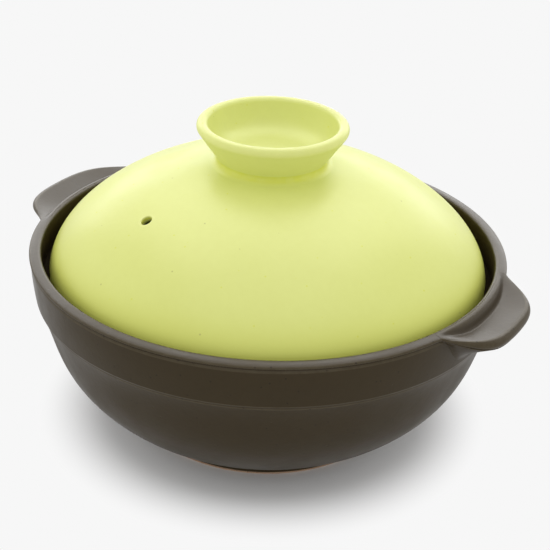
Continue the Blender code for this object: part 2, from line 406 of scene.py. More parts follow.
class Wiring:
    """Places and joins nodes in one node tree.

    Where a method takes a number or a colour, it also takes another node's output.
    """

    # A Mix node's colour sockets share their names with its others, so they go by number.
    MIXED_COLOURS = (6, 7)
    MIXED_RESULT = 2

    def __init__(self, tree: bpy.types.NodeTree) -> None:
        """Take the tree to work on.

        Args:
            tree: A material's or a group's node tree.
        """
        self.tree = tree

    def feed(self, node: bpy.types.Node, values: Values) -> None:
        """Give a node's inputs their numbers, colours or outputs.

        Args:
            node: The node.
            values: What each input gets, by its name or number.
        """
        for name, value in values.items():
            socket = node.inputs[name]
            if isinstance(value, bpy.types.NodeSocket):
                self.tree.links.new(value, socket)
            elif isinstance(value, tuple):
                socket.default_value = (*value, 1.0)
            else:
                socket.default_value = value

    def put(self, kind: str, values: Values | None = None, **settings: object) -> bpy.types.Node:
        """Add a node.

        Args:
            kind: The node's type.
            values: What its inputs get.
            settings: Its own settings.

        Returns:
            The node.
        """
        node = self.tree.nodes.new(kind)
        for name, value in settings.items():
            setattr(node, name, value)
        self.feed(node, values or {})
        return node

    def coordinates(self) -> bpy.types.NodeSocket:
        """Add the coordinates of the piece that is being shaded."""
        return self.put("ShaderNodeTexCoord").outputs["Object"]

    def maths(self, operation: str, *terms: Feed) -> bpy.types.NodeSocket:
        """Add a sum.

        Args:
            operation: The name of the sum.
            terms: Its numbers, up to three.

        Returns:
            The result's output.
        """
        return self.put("ShaderNodeMath", dict(enumerate(terms)), operation=operation).outputs[0]

    def ramp(self, source: Feed, span: Point, ends: Point = (0.0, 1.0)) -> bpy.types.NodeSocket:
        """Map a number softly from one range to another.

        Args:
            source: The number.
            span: Where its range starts and ends.
            ends: The results at the start and the end.

        Returns:
            The result's output.
        """
        limits = {"From Min": span[0], "From Max": span[1], "To Min": ends[0], "To Max": ends[1]}
        values = {"Value": source, **limits}
        node = self.put("ShaderNodeMapRange", values, interpolation_type="SMOOTHSTEP")
        return node.outputs["Result"]

    def blend(self, share: Feed, below: Feed, above: Feed) -> bpy.types.NodeSocket:
        """Mix two colours by a share.

        Args:
            share: How much of the second colour shows.
            below: First colour.
            above: Second colour.

        Returns:
            The mixed colour's output.
        """
        first, second = self.MIXED_COLOURS
        values = {"Factor": share, first: below, second: above}
        node = self.put("ShaderNodeMix", values, data_type="RGBA")
        return node.outputs[self.MIXED_RESULT]

    def mix_light(self, share: Feed, first: Feed, second: Feed) -> bpy.types.NodeSocket:
        """Mix two shaders by a share.

        Args:
            share: How much of the second shader shows.
            first: First shader.
            second: Second shader.

        Returns:
            The mixed shader's output.
        """
        return self.put("ShaderNodeMixShader", {0: share, 1: first, 2: second}).outputs[0]

    def noise(
        self, place: Feed, size: Feed, detail: float = 3.0, roughness: float = 0.55
    ) -> bpy.types.NodeSocket:
        """Add cloudy noise.

        Args:
            place: The coordinates that it lies in.
            size: Its scale.
            detail: Levels of finer noise.
            roughness: How strong the finer levels are.

        Returns:
            The noise's value output.
        """
        values = {"Vector": place, "Scale": size, "Detail": detail, "Roughness": roughness}
        return self.put("ShaderNodeTexNoise", values).outputs[0]

    def cells(self, place: Feed, size: Feed) -> Sockets:
        """Split the space into cells.

        Args:
            place: The coordinates that they lie in.
            size: How many there are along a metre.

        Returns:
            The distance to the cell's middle, and three numbers that differ from cell to cell.
        """
        cells = self.put("ShaderNodeTexVoronoi", {"Vector": place, "Scale": size})
        lots = self.put("ShaderNodeSeparateColor", {0: cells.outputs["Color"]})
        return cells.outputs["Distance"], *lots.outputs


class Effect:
    """A shader node group that several finishes share, built once."""

    title = "Effect"
    takes: dict[str, float | Colour] = {}

    @classmethod
    def group(cls) -> bpy.types.NodeTree:
        """Find the effect's node group, or make it the first time that it is asked for.

        Returns:
            The group.
        """
        found = bpy.data.node_groups.get(cls.title)
        if found:
            return found
        made = bpy.data.node_groups.new(cls.title, "ShaderNodeTree")
        for name, value in cls.takes.items():
            coloured = isinstance(value, tuple)
            kind = "NodeSocketColor" if coloured else "NodeSocketFloat"
            socket = made.interface.new_socket(name=name, in_out="INPUT", socket_type=kind)
            socket.default_value = (*value, 1.0) if coloured else value
        wiring = Wiring(made)
        results = cls.wire(wiring, wiring.put("NodeGroupInput").outputs)
        for name, result in results.items():
            kind = "NodeSocketColor" if result.type == "RGBA" else "NodeSocketFloat"
            made.interface.new_socket(name=name, in_out="OUTPUT", socket_type=kind)
        wiring.put("NodeGroupOutput", results)
        return made

    @classmethod
    def wire(cls, wiring: Wiring, taken: Values) -> Values:
        """Fill the group with its nodes.

        Args:
            wiring: The group's wiring.
            taken: The group's inputs, by name.

        Returns:
            What the group gives, by name.
        """
        raise NotImplementedError

    @classmethod
    def lay(cls, wiring: Wiring, values: Values | None = None) -> Values:
        """Put the effect into a material.

        Args:
            wiring: The material's wiring.
            values: What its inputs get; the others keep the group's own values.

        Returns:
            Its outputs, by name.
        """
        return wiring.put("ShaderNodeGroup", values, node_tree=cls.group()).outputs


class GlazeThicknessAndHighlight(Effect):
    """The masks of outer edges, where the melt is thinner and a lighter colour also paints a
    highlight, and of inner corners, where the glaze collects.
    """

    title = "Glaze thickness and edge highlight"
    takes = {"Edge Bend": 130.0, "Corner Bend": 90.0, "Waver": 0.35}

    WAVER_SIZE = 260.0
    WAVER_SPAN = (0.3, 0.7)
    EDGE_SPAN = (0.35, 1.6)
    CORNER_SPAN = (0.35, 1.8)

    @classmethod
    def wire(cls, wiring: Wiring, taken: Values) -> Values:
        """Read the skin's bend and break it up with noise.

        Args:
            wiring: The group's wiring.
            taken: The group's inputs, by name.

        Returns:
            The shares of thinner glaze on edges, which also carries a painted highlight, and of
            glaze collected in corners.
        """
        bend = wiring.put("ShaderNodeAttribute", attribute_name=ClayMesh.BEND_ATTRIBUTE)
        bend = bend.outputs["Fac"]
        waver = wiring.ramp(wiring.noise(wiring.coordinates(), cls.WAVER_SIZE), cls.WAVER_SPAN)
        keep = wiring.maths("SUBTRACT", 1.0, wiring.maths("MULTIPLY", waver, taken["Waver"]))
        edge = wiring.maths("DIVIDE", bend, taken["Edge Bend"])
        inner = wiring.maths("MULTIPLY", bend, -1.0)
        corner = wiring.maths("DIVIDE", inner, taken["Corner Bend"])
        return {
            # Outer edges: thinner glaze, whose lighter colour is partly a painted highlight.
            "Thin": wiring.maths("MULTIPLY", wiring.ramp(edge, cls.EDGE_SPAN), keep),
            "Pooled": wiring.maths("MULTIPLY", wiring.ramp(corner, cls.CORNER_SPAN), keep),
        }


class KilnClouds(Effect):
    """Soft changes of tone over the melt, broad ones from the fire and finer ones from the dip."""

    title = "Kiln clouds"
    takes = {
        "Glaze": (0.5, 0.5, 0.5),
        "Deep": (0.4, 0.4, 0.4),
        "Broad Size": 14.0,
        "Fine Size": 240.0,
        "Amount": 0.5,
    }

    BROAD_DETAIL = 3.0
    BROAD_SPAN = (0.34, 0.68)
    BROAD_SHARE = 0.6
    FINE_DETAIL = 4.0
    FINE_ROUGHNESS = 0.6
    FINE_SPAN = (0.30, 0.72)
    FINE_SHARE = 0.4

    @classmethod
    def wire(cls, wiring: Wiring, taken: Values) -> Values:
        """Add broad and fine noise and mix the two colours by it.

        Args:
            wiring: The group's wiring.
            taken: The group's inputs, by name.

        Returns:
            The clouded colour.
        """
        place = wiring.coordinates()
        broad = wiring.noise(place, taken["Broad Size"], cls.BROAD_DETAIL)
        fine = wiring.noise(place, taken["Fine Size"], cls.FINE_DETAIL, cls.FINE_ROUGHNESS)
        broad, fine = wiring.ramp(broad, cls.BROAD_SPAN), wiring.ramp(fine, cls.FINE_SPAN)
        fine = wiring.maths("MULTIPLY", fine, cls.FINE_SHARE)
        both = wiring.maths("MULTIPLY_ADD", broad, cls.BROAD_SHARE, fine)
        share = wiring.maths("MULTIPLY", both, taken["Amount"])
        return {"Color": wiring.blend(share, taken["Glaze"], taken["Deep"])}


class GlazeSkin(Effect):
    """The fired surface: faint orange peel, pinholes, and a satin that is a little uneven."""

    title = "Glaze skin"
    takes = {
        "Peel Size": 420.0,
        "Peel": 1.0,
        "Pit Size": 330.0,
        "Pits": 1.0,
        "Satin": 0.3,
        "Unevenness": 0.06,
    }

    PEEL_DETAIL = 2.0
    PITTED = 0.93
    PIT_SPAN = (0.08, 0.22)
    SATIN_SIZE = 36.0
    SATIN_DETAIL = 4.0
    SATIN_SPAN = (0.3, 0.7)

    @classmethod
    def wire(cls, wiring: Wiring, taken: Values) -> Values:
        """Combine the peel, the pits and the satin.

        Args:
            wiring: The group's wiring.
            taken: The group's inputs, by name.

        Returns:
            The height, the roughness and the pinholes' mask.
        """
        place = wiring.coordinates()
        peel = wiring.noise(place, taken["Peel Size"], cls.PEEL_DETAIL)
        peel = wiring.maths("MULTIPLY", peel, taken["Peel"])
        away, lot, *_ = wiring.cells(place, taken["Pit Size"])
        dip = wiring.ramp(away, cls.PIT_SPAN, (1.0, 0.0))
        rare = wiring.maths("GREATER_THAN", lot, cls.PITTED)
        pits = wiring.maths("MULTIPLY", wiring.maths("MULTIPLY", dip, rare), taken["Pits"])
        cloud = wiring.noise(place, cls.SATIN_SIZE, cls.SATIN_DETAIL)
        cloud = wiring.ramp(cloud, cls.SATIN_SPAN, (-1.0, 1.0))
        return {
            "Height": wiring.maths("SUBTRACT", peel, pits),
            "Roughness": wiring.maths("MULTIPLY_ADD", cloud, taken["Unevenness"], taken["Satin"]),
            "Pinholes": pits,
        }


class IronSpecks(Effect):
    """Tiny specks of iron that bled up through the melt."""

    title = "Iron specks"
    takes = {"Size": 520.0, "Share": 0.05}

    SPOT_SPAN = (0.10, 0.34)

    @classmethod
    def wire(cls, wiring: Wiring, taken: Values) -> Values:
        """Pick a few cells and fill their middles.

        Args:
            wiring: The group's wiring.
            taken: The group's inputs, by name.

        Returns:
            The specks' mask.
        """
        away, _, lot, _ = wiring.cells(wiring.coordinates(), taken["Size"])
        rare = wiring.maths("LESS_THAN", lot, taken["Share"])
        spot = wiring.ramp(away, cls.SPOT_SPAN, (1.0, 0.0))
        return {"Mask": wiring.maths("MULTIPLY", rare, spot)}


@dataclass(frozen=True)
class Finish:
    """A fired surface. Each kind says how its colour, roughness and height change over it.

    Attributes:
        name: The material's name.
        body: Its colour over open surfaces.
        shine: Its specular level.
        relief: Depth of its fine relief in metres.
    """

    name: str
    body: Colour
    shine: float
    relief: float

    def make(self) -> bpy.types.Material:
        """Build the finish's material.

        Returns:
            The material.
        """
        made = bpy.data.materials.new(self.name)
        made.use_nodes = True
        wiring = Wiring(made.node_tree)
        colour, roughness, height = self.surface(wiring)
        bump = {"Distance": self.relief, "Strength": 1.0, "Height": height}
        values = {
            "Specular IOR Level": self.shine,
            "Base Color": colour,
            "Roughness": roughness,
            "Normal": wiring.put("ShaderNodeBump", bump).outputs["Normal"],
        }
        wiring.feed(made.node_tree.nodes["Principled BSDF"], values)
        return made

    def surface(self, wiring: Wiring) -> Sockets:
        """Wire what changes over the surface.

        Args:
            wiring: The material's wiring.

        Returns:
            Its colour, roughness and height.
        """
        raise NotImplementedError


@dataclass(frozen=True)
class Glaze(Finish):
    """A fired glaze: satin glass over clay, thinner and lighter on the edges, partly as a painted
    highlight, and deeper in the corners.

    Attributes:
        deep: Its colour in the darker clouds.
        thin: Its colour where it is thinner on an edge, partly a painted highlight.
        pool_and_low_shade: Its colour where it collected in corners and in pinholes, and the colour
            of the painted shade under the run heights.
        speck: The colour of its specks.
        satin: Its roughness.
        clouds: How far the clouds change it.
        specks: The share of cells with a speck.
        run: The heights of the painted shade towards the lower edge: full at the first, none at the
            second.
    """

    deep: Colour
    thin: Colour
    pool_and_low_shade: Colour
    speck: Colour
    satin: float
    clouds: float
    specks: float
    # Heights of the painted shade towards the lower edge, in the corner colour.
    run: Point | None = None

    def surface(self, wiring: Wiring) -> Sockets:
        """Lay the clouds, the colour collected in corners, the thinner edges with their painted
        highlight, any painted shade towards the lower edge, the specks and the pinholes.

        Args:
            wiring: The material's wiring.

        Returns:
            Its colour, roughness and height.
        """
        tones = {"Glaze": self.body, "Deep": self.deep, "Amount": self.clouds}
        clouds = KilnClouds.lay(wiring, tones)
        thickness = GlazeThicknessAndHighlight.lay(wiring)
        specks = IronSpecks.lay(wiring, {"Share": self.specks})
        skin = GlazeSkin.lay(wiring, {"Satin": self.satin})
        pool_and_shade_share = thickness["Pooled"]
        # Painted shade: below the run heights the colour deepens and grows more saturated towards
        # the lower edge.
        if self.run:
            height = wiring.put("ShaderNodeSeparateXYZ", {0: wiring.coordinates()}).outputs["Z"]
            lower_edge_shade = wiring.ramp(height, self.run, (1.0, 0.0))
            pool_and_shade_share = wiring.maths("MAXIMUM", pool_and_shade_share, lower_edge_shade)
        colour = wiring.blend(pool_and_shade_share, clouds["Color"], self.pool_and_low_shade)
        # Painted highlight, in part: outer edges take the lighter colour of thinner glaze.
        colour = wiring.blend(thickness["Thin"], colour, self.thin)
        colour = wiring.blend(specks["Mask"], colour, self.speck)
        colour = wiring.blend(skin["Pinholes"], colour, self.pool_and_low_shade)
        return colour, skin["Roughness"], skin["Height"]


@dataclass(frozen=True)
class BareClay(Finish):
    """Unglazed fired clay: dry, grainy, with faint turning lines.

    Attributes:
        name: The material's name.
        body: Its colour.
        shine: Its specular level.
        relief: Depth of its grain and lines in metres.
        toast: Its colour where the fire toasted it.
        cloud_size: Scale of the toasted clouds.
        clouds: How far they change it.
        sand: The colour of its sand grains.
        sand_size: Scale of the grains.
        sand_share: The share of cells with a grain.
        dryness: Its roughness.
        unevenness: How far that changes with the grain.
        grain_size: Scale of the grain.
        grain_noise: Its levels of finer noise and their strength.
        grain_span: The part of the noise that changes the roughness.
        line_size: Scale of the turning lines.
        line_waver: How uneven they are.
        line_detail: Levels of finer unevenness.
        line_share: How strong they are beside the grain.
    """

    name: str = "bare_fired_clay"
    body: Colour = (0.50, 0.34, 0.23)
    shine: float = 0.25
    relief: float = 0.00016
    toast: Colour = (0.34, 0.20, 0.12)
    cloud_size: float = 30.0
    clouds: float = 0.8
    sand: Colour = (0.16, 0.10, 0.06)
    sand_size: float = 900.0
    sand_share: float = 0.16
    dryness: float = 0.88
    unevenness: float = 0.08
    grain_size: float = 1100.0
    grain_noise: Point = (4.0, 0.65)
    grain_span: Point = (0.3, 0.7)
    line_size: float = 190.0
    line_waver: float = 1.6
    line_detail: float = 2.0
    line_share: float = 0.35

    def surface(self, wiring: Wiring) -> Sockets:
        """Lay the toasted clouds, the sand, the grain and the turning lines.

        Args:
            wiring: The material's wiring.

        Returns:
            Its colour, roughness and height.
        """
        tones = {"Glaze": self.body, "Deep": self.toast}
        amounts = {"Broad Size": self.cloud_size, "Amount": self.clouds}
        clouds = KilnClouds.lay(wiring, tones | amounts)
        sand = IronSpecks.lay(wiring, {"Size": self.sand_size, "Share": self.sand_share})
        colour = wiring.blend(sand["Mask"], clouds["Color"], self.sand)
        colour = wiring.blend(GlazeThicknessAndHighlight.lay(wiring)["Thin"], colour, self.body)
        place = wiring.coordinates()
        grain = wiring.noise(place, self.grain_size, *self.grain_noise)
        limits = (self.dryness - self.unevenness, self.dryness + self.unevenness)
        lines = wiring.put(
            "ShaderNodeTexWave",
            {
                "Vector": place,
                "Scale": self.line_size,
                "Distortion": self.line_waver,
                "Detail": self.line_detail,
            },
            wave_type="RINGS",
            rings_direction="Z",
        )
        height = wiring.maths("MULTIPLY_ADD", lines.outputs[1], self.line_share, grain)
        return colour, wiring.ramp(grain, self.grain_span, limits), height


@dataclass(frozen=True)
class Kiln:
    """All the finishes of the pot.

    Attributes:
        brown: The bowl's and the lugs' glaze.
        matt_gap_shade: A matt brown on the gallery's corner in the gap under the lid's edge, darker
            as painted shade.
        lime: The lid's and the knob's glaze.
        clay: The bare clay of the foot and the seats.
    """

    brown: Glaze = Glaze(
        name="brown_satin_glaze",
        body=(0.0400, 0.0270, 0.0096),
        shine=0.17,
        relief=0.00005,
        deep=(0.0335, 0.0225, 0.0078),
        # Lighter brown on outer edges: thinner glaze, and partly a painted highlight.
        thin=(0.0700, 0.0540, 0.0290),
        pool_and_low_shade=(0.0395, 0.0266, 0.0095),
        speck=(0.0200, 0.0130, 0.0050),
        satin=0.34,
        clouds=0.75,
        specks=0.045,
    )
    # Matt brown on the gallery's corner in the gap under the lid; its darker colour is painted
    # shade.
    matt_gap_shade: Glaze = replace(
        brown,
        name="matt_gap_shade_brown_glaze",
        # Painted shade: darker than the brown glaze's own body colour.
        body=(0.0300, 0.0205, 0.0075),
        shine=0.02,
        deep=(0.0260, 0.0180, 0.0065),
        thin=(0.0400, 0.0290, 0.0140),
        pool_and_low_shade=(0.0240, 0.0160, 0.0060),
        satin=0.85,
    )
    lime: Glaze = Glaze(
        name="lime_satin_glaze",
        body=(0.735, 0.775, 0.240),
        shine=0.16,
        relief=0.00003,
        deep=(0.705, 0.740, 0.220),
        thin=(0.755, 0.790, 0.260),
        # Deeper lime in corners, and the painted shade on the lower part of the dome.
        pool_and_low_shade=(0.700, 0.735, 0.115),
        speck=(0.520, 0.530, 0.150),
        satin=0.36,
        clouds=0.70,
        specks=0.004,
        # Heights of the painted shade on the lower part of the lid's dome.
        run=(0.086, 0.114),
    )
    clay: BareClay = BareClay()

    def fire(self) -> Finishes:
        """Make every finish.

        Returns:
            The materials, by short name.
        """
        kinds = {"brown": self.brown, "matt_gap_shade": self.matt_gap_shade, "lime": self.lime, "clay": self.clay}
        return {name: kind.make() for name, kind in kinds.items()}


# The pot


@dataclass
class Bowl:
    """The thrown bowl: rounded lip, collar, step line, belly, gallery and dished floor.

    Attributes:
        rim_radius: Outer radius of the lip.
        height: Height of the rim.
        rim_width: Width of the rim's flat top.
        lip_crest: How far inside its outer edge the lip is highest.
        lip_face: Height of the lip's outer curve.
        lip_overhang: How far it stands out over the collar.
        lip_steps: Number of steps over its top.
        lip_crease: Radius of the crease under it.
        crease_reach: Where the collar's own curve takes over, in radii of the crease.
        inner_rounding: Radius of its inner top edge.
        press_depth: How far under the lip the lugs still press it.
        collar_lean: How far the collar leans in.
        collar_bulge: How full the collar is.
        step_drop: Depth of the step line under the rim.
        step_width: How far the belly stands out past the collar; negative where it falls back.
        step_rounding: How far under its height the step line ends.
        step_rise: How far over its height it begins.
        step_softness: How gently it leaves the collar and meets the belly.
        wall_pull: How the belly's curve leaves the step.
        belly_pull: How it reaches the foot.
        wall: Wall thickness.
        base: Base thickness.
        base_inset: How far inside the foot's radius the bare base begins.
        base_stations: Radii of the points across it.
        floor_rise: How far over the floor its rounding starts.
        rounding_steps: Number of steps round it.
        floor_steps: Number of steps across the floor.
        wall_ring: Depth and pitch of the throwing rings on the wall.
        floor_ring: Depth and pitch of those on the floor.
        floor_calm: Radius within which the floor's rings fade out.
        seat_depth: Depth of the gallery under the rim.
        seat_width: Width of the gallery.
        seat_nose: Radius of the gallery's inner edge.
        seat_corner: Radius of its outer corner.
        glaze_line: Where on the inner edge the glaze ends, in degrees.
        land_inset: How far inside the wall the bare land ends.
        wall_rise: How far up the wall over the gallery its points reach.
        foot_radius: Radius of the foot at the table.
        foot_height: Height of the foot.
        foot_margin: How far the belly overhangs the foot.
        columns: Stations round the turn.
    """

    rim_radius: float = 0.1250
    height: float = 0.1002
    rim_width: float = 0.0062
    lip_crest: float = 0.0046
    lip_face: float = 0.0020
    lip_overhang: float = 0.0006
    lip_steps: int = 14
    lip_crease: float = 0.0006
    crease_reach: float = 2.4
    inner_rounding: float = 0.0016
    press_depth: float = 0.0004
    collar_lean: float = 0.0018
    collar_bulge: float = 0.0011
    step_drop: float = 0.0239
    step_width: float = -0.0005
    step_rounding: float = 0.0008
    step_rise: float = 0.0008
    step_softness: float = 0.0005
    wall_pull: Point = (-0.0103, -0.0216)
    belly_pull: Point = (0.0475, 0.0294)
    wall: float = 0.0075
    base: float = 0.0075
    base_inset: float = 0.0020
    base_stations: tuple[float, ...] = (0.060, 0.045, 0.030, 0.015, 0.0)
    floor_rise: float = 0.0080
    rounding_steps: int = 10
    floor_steps: int = 24
    wall_ring: Point = (0.00010, 0.0085)
    floor_ring: Point = (0.00012, 0.0075)
    floor_calm: float = 0.0100
    seat_depth: float = 0.0165
    seat_width: float = 0.0100
    seat_nose: float = 0.0020
    seat_corner: float = 0.0015
    glaze_line: float = 130.0
    land_inset: float = 0.0045
    wall_rise: float = 0.0145
    foot_radius: float = 0.0699
    foot_height: float = 0.0048
    foot_margin: float = 0.0016
    columns: int = 320

    @property
    def inner_radius(self) -> float:
        """Radius inside the rim."""
        return self.rim_radius - self.rim_width

    @property
    def collar_radius(self) -> float:
        """Radius of the collar's top, under the lip."""
        return self.rim_radius - self.lip_overhang

    @property
    def lip_bottom(self) -> float:
        """Height of the lip's lower edge."""
        return self.height - self.lip_face

    @property
    def step_height(self) -> float:
        """Height of the step line."""
        return self.height - self.step_drop

    @property
    def seat_height(self) -> float:
        """Height of the gallery."""
        return self.height - self.seat_depth

    def lip(self, skin: float = 0.0) -> list[Point]:
        """Outer curve of the lip, from its highest line out and round under its edge.

        Args:
            skin: How far outside the lip to draw it.

        Returns:
            The (radius, height) points.
        """
        across, down = self.lip_crest + skin, self.lip_face - self.lip_overhang + skin
        middle = (self.rim_radius - self.lip_crest, self.lip_bottom + self.lip_overhang)
        points = []
        for step in range(self.lip_steps + 1):
            lean = math.radians(90.0 * step / self.lip_steps)
            points.append((middle[0] + across * math.sin(lean), middle[1] + down * math.cos(lean)))
        under = (self.collar_radius, middle[1])
        return points + arc(under, self.lip_overhang + skin, 0, -90, steps=6)[1:]

    def collar(self) -> list[Point]:
        """Outside of the collar, from under the lip down to the step.

        Returns:
            The (radius, height) points.
        """
        top = (self.collar_radius, self.lip_bottom)
        bottom = (top[0] - self.collar_lean, self.step_height)
        third = (top[1] - bottom[1]) / 3
        arrives = (bottom[0] + self.collar_bulge, bottom[1] + third)
        return bezier(top, (top[0], top[1] - third), arrives, bottom, steps=24)

    def belly(self) -> list[Point]:
        """Outside of the lower bowl, from under the step in to the foot.

        Returns:
            The (radius, height) points.
        """
        collar_foot = self.collar_radius - self.collar_lean
        start = (collar_foot + self.step_width, self.step_height - self.step_rounding)
        end = (self.foot_radius + self.foot_margin, self.foot_height)
        leaves = (start[0] + self.wall_pull[0], start[1] + self.wall_pull[1])
        arrives = (end[0] + self.belly_pull[0], end[1] + self.belly_pull[1])
        return bezier(start, leaves, arrives, end, steps=56)

    def outside(self) -> list[Point]:
        """The wall that the lugs are luted to, from under the lip down."""
        return self.collar() + self.belly()

    def inside(self) -> list[Point]:
        """Inner skin from under the gallery to the middle of the floor, with throwing rings.

        Returns:
            The (radius, height) points.
        """
        floor = self.foot_height + self.base
        skin = offset(self.belly(), self.wall)
        under_seat = self.seat_height - 2 * self.seat_nose
        kept = [point for point in skin if floor + self.floor_rise < point[1] < under_seat]
        last, before = Vector(kept[-1]), Vector(kept[-2])
        along = (last - before).normalized()
        corner = last + along * ((last.y - floor) / -along.y)
        end = Vector((corner.x - (corner - last).length, floor))
        depth, pitch = self.wall_ring
        points = [(r + depth * math.sin(h * 2.0 * math.pi / pitch), h) for r, h in kept]
        for step in range(1, self.rounding_steps + 1):
            t = step / self.rounding_steps
            point = (1 - t) ** 2 * last + 2 * (1 - t) * t * corner + t * t * end
            points.append((point.x, point.y))
        depth, pitch = self.floor_ring
        for step in range(1, self.floor_steps):
            radius = end.x * (1 - step / self.floor_steps)
            ring = depth * math.sin(radius * 2.0 * math.pi / pitch)
            points.append((radius, floor + ring * smooth(radius, 0.0, self.floor_calm)))
        return points + [(0.0, floor)]

    def outline(self) -> Outline:
        """The whole outline, from the lip down the outside, under the base and up the inside.

        Returns:
            The outline.
        """
        turned = Outline()
        turned.run(self.lip())
        collar, belly, crease = self.collar(), self.belly(), self.lip_crease
        turned.run(arc((collar[0][0], self.lip_bottom - crease), crease, 90, 225, steps=8))
        above = self.step_height + self.step_rise
        below = self.lip_bottom - self.crease_reach * crease
        turned.run([point for point in collar if above < point[1] < below])
        start, edge = (radius_at(collar, above), above), belly[0]
        leaves = (start[0], above - self.step_softness)
        arrives = (edge[0], edge[1] + self.step_softness)
        turned.run(bezier(start, leaves, arrives, edge, steps=12))
        turned.run(belly[1:])
        base = (self.foot_radius - self.base_inset, *self.base_stations)
        turned.run([(radius, self.foot_height) for radius in base], Coat.BARE)
        turned.run(self.inside()[::-1])
        nose_radius = self.inner_radius - self.seat_width
        nose = (nose_radius + self.seat_nose, self.seat_height - self.seat_nose)
        turned.run(arc(nose, self.seat_nose, 180, self.glaze_line, steps=5))
        turned.run(arc(nose, self.seat_nose, self.glaze_line, 90, steps=4), Coat.BARE)
        turned.run([(self.inner_radius - self.land_inset, self.seat_height)], Coat.BARE)
        corner = (self.inner_radius - self.seat_corner, self.seat_height + self.seat_corner)
        # Painted shade: the gallery's outer corner, in the gap under the lid, is matt and darker.
        turned.run(arc(corner, self.seat_corner, -90, 0, steps=8), Coat.MATT_GAP_SHADE)
        for share in (0.25, 0.5, 0.75):
            turned.run([(self.inner_radius, self.seat_height + share * self.wall_rise)])
        edge = (self.inner_radius + self.inner_rounding, self.height - self.inner_rounding)
        turned.run(arc(edge, self.inner_rounding, 180, 90, steps=6))
        return turned

    def build(self, finishes: Finishes, lugs: list["Lug"]) -> bpy.types.Object:
        """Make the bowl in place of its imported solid.

        Args:
            finishes: All the finishes, by short name.
            lugs: The lugs, which the rim slopes down to.

        Returns:
            The bowl.
        """
        skin = ClayMesh("glazed_bowl")
        Turning(skin, self.outline(), self.columns, closed=True).spin()
        for place in skin.points:
            if place.z > self.lip_bottom - self.press_depth:
                for lug in lugs:
                    place.z = lug.press(place)
        return skin.make([finishes["brown"], finishes["clay"], finishes["matt_gap_shade"]])


@dataclass
class FootRing:
    """The turned foot, glazed outside to just above the table and bare below.

    Attributes:
        bowl: The bowl that it is luted to.
        width: Width of the ring.
        taper: How far it widens towards the bowl.
        rounding: Radius of its lower edges.
        clay_line: Height of the bare line at the table.
        melt: How far the glaze's edge stands out.
        bead: Height of the glaze's rounded edge.
        bead_share: The part of the melt that is rounded.
        side_leaves: How its side leaves the base, in shares of the taper and of its height.
        side_arrives: Where its side comes down upright from, in heights of the bare line.
        clearance: Gap to the base.
        columns: Stations round the turn.
    """

    bowl: Bowl
    width: float = 0.0085
    taper: float = 0.0012
    rounding: float = 0.0008
    clay_line: float = 0.0013
    melt: float = 0.0002
    bead: float = 0.0002
    bead_share: float = 0.8
    side_leaves: Point = (0.3, 0.7)
    side_arrives: float = 1.9
    clearance: float = 0.0003
    columns: int = 256

    def outline(self) -> Outline:
        """Outline from the outer top, over the glaze's edge, across the foot and up inside.

        Returns:
            The outline.
        """
        radius, top = self.bowl.foot_radius, self.bowl.foot_height - self.clearance
        inner, bead = radius - self.width, self.clay_line + self.bead
        start, end = (radius + self.taper, top), (radius + self.melt, bead)
        leaves = (radius + self.taper * self.side_leaves[0], top * self.side_leaves[1])
        arrives = (radius + self.melt, self.clay_line * self.side_arrives)
        turned = Outline()
        turned.run(bezier(start, leaves, arrives, end, steps=10))
        drip = self.melt * self.bead_share
        turned.run(arc((radius + self.melt - drip, bead), drip, 0, -90, steps=4))
        turned.run([(radius, self.clay_line)], Coat.BARE)
        edge = (radius - self.rounding, self.rounding)
        turned.run(arc(edge, self.rounding, 0, -90, steps=6), Coat.BARE)
        turned.run([(radius - self.width * share, 0.0) for share in (0.3, 0.5, 0.7)], Coat.BARE)
        edge = (inner + self.rounding, self.rounding)
        turned.run(arc(edge, self.rounding, -90, -180, steps=6), Coat.BARE)
        turned.run([(inner - self.taper * 0.5, top * 0.5), (inner - self.taper, top)], Coat.BARE)
        turned.run([(radius - self.width * 0.5, top)], Coat.BARE)
        return turned

    def build(self, finishes: Finishes) -> bpy.types.Object:
        """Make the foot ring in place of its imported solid.

        Args:
            finishes: All the finishes, by short name.

        Returns:
            The foot ring.
        """
        skin = ClayMesh("turned_foot")
        Turning(skin, self.outline(), self.columns, closed=True).spin()
        return skin.make([finishes["brown"], finishes["clay"]])


class Side(Enum):
    """Which side a lug stands on; the value is its bearing in radians."""

    RIGHT = 0.0
    LEFT = math.pi


